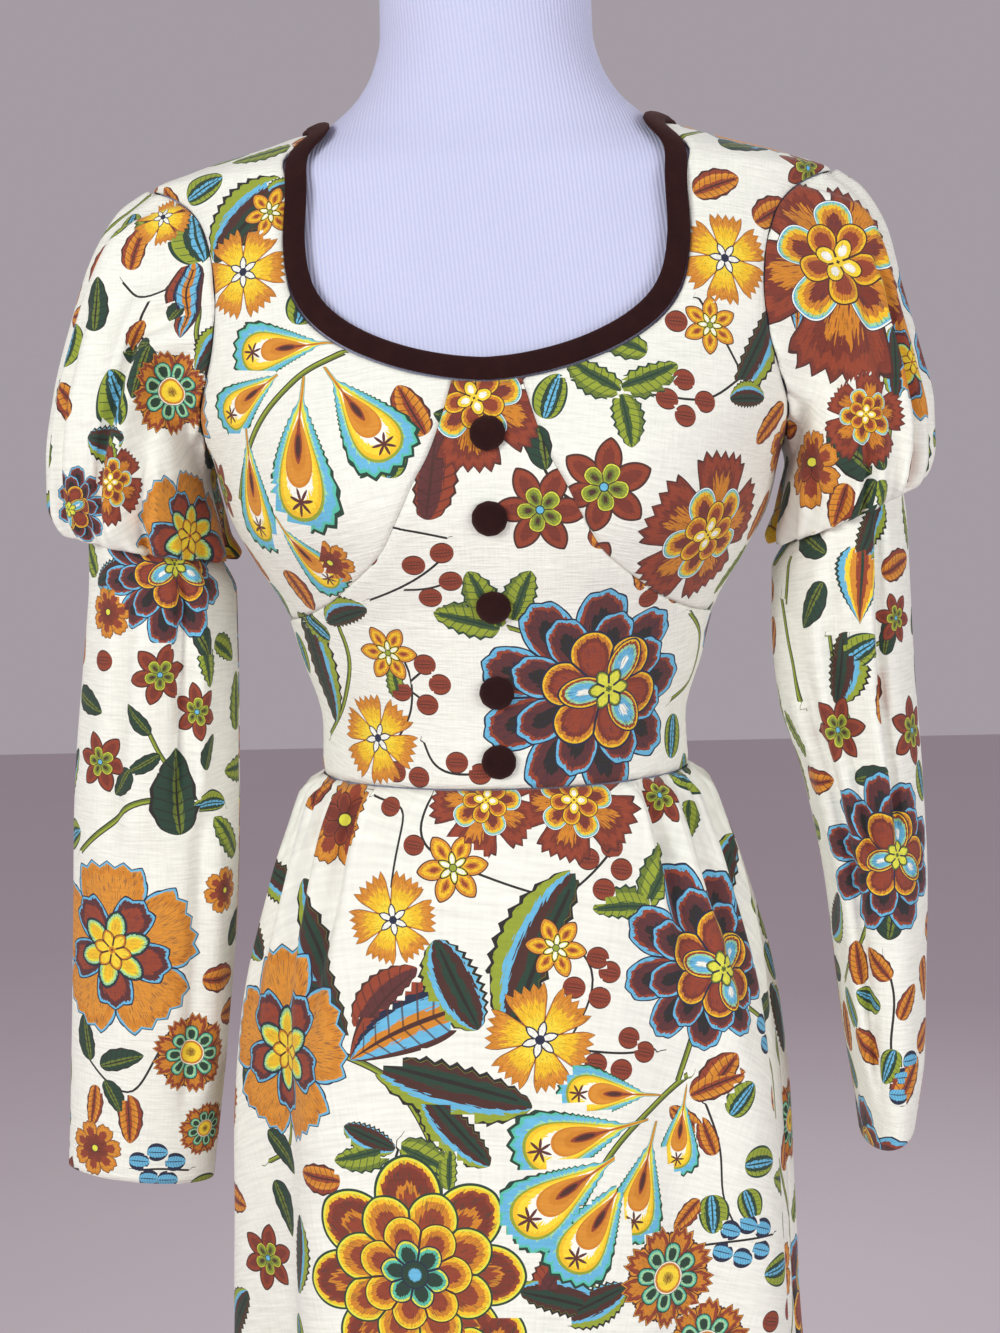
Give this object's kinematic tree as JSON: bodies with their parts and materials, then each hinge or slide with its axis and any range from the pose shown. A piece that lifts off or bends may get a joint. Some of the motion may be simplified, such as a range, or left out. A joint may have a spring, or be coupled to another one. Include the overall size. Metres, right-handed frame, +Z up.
{
  "type": "prairie dress on a dress form",
  "caption": "Long prairie dress with a scoop neck, V-seamed bodice, gathered puff sleeves over narrow cuffs and a gathered skirt, worn by a limbless dress form on a pole stand",
  "frame": {"origin": "on the surface the stand rests on, under the middle of the whole part", "axes": "+Z is up, the dress's front faces -Y, and +X is on the right of someone who looks at the front"},
  "size_m": [0.5188, 0.3843, 1.515],
  "materials": {
    "printed_linen": "slubbed linen weave, cream with a printed flower pattern",
    "velvet": "short-pile brown velvet",
    "jersey": "fine ribbed white jersey",
    "pole_steel": "satin steel",
    "base_steel": "satin light grey paint"
  },
  "bodies": {
    "root": {"bodice_centre_front": "printed_linen", "bodice_cup_left": "printed_linen", "bodice_cup_right": "printed_linen", "bodice_back_left": "printed_linen", "bodice_back_right": "printed_linen", "skirt_front": "printed_linen", "skirt_back": "printed_linen", "sleeve_puff_left": "printed_linen", "sleeve_puff_right": "printed_linen", "sleeve_lower_left": "printed_linen", "sleeve_lower_right": "printed_linen", "neck_binding": "velvet", "button_1": "velvet", "button_2": "velvet", "button_3": "velvet", "button_4": "velvet", "button_5": "velvet", "form_body": "jersey", "stand_pole": "pole_steel", "stand_base": "base_steel"}
  },
  "joints": []
}
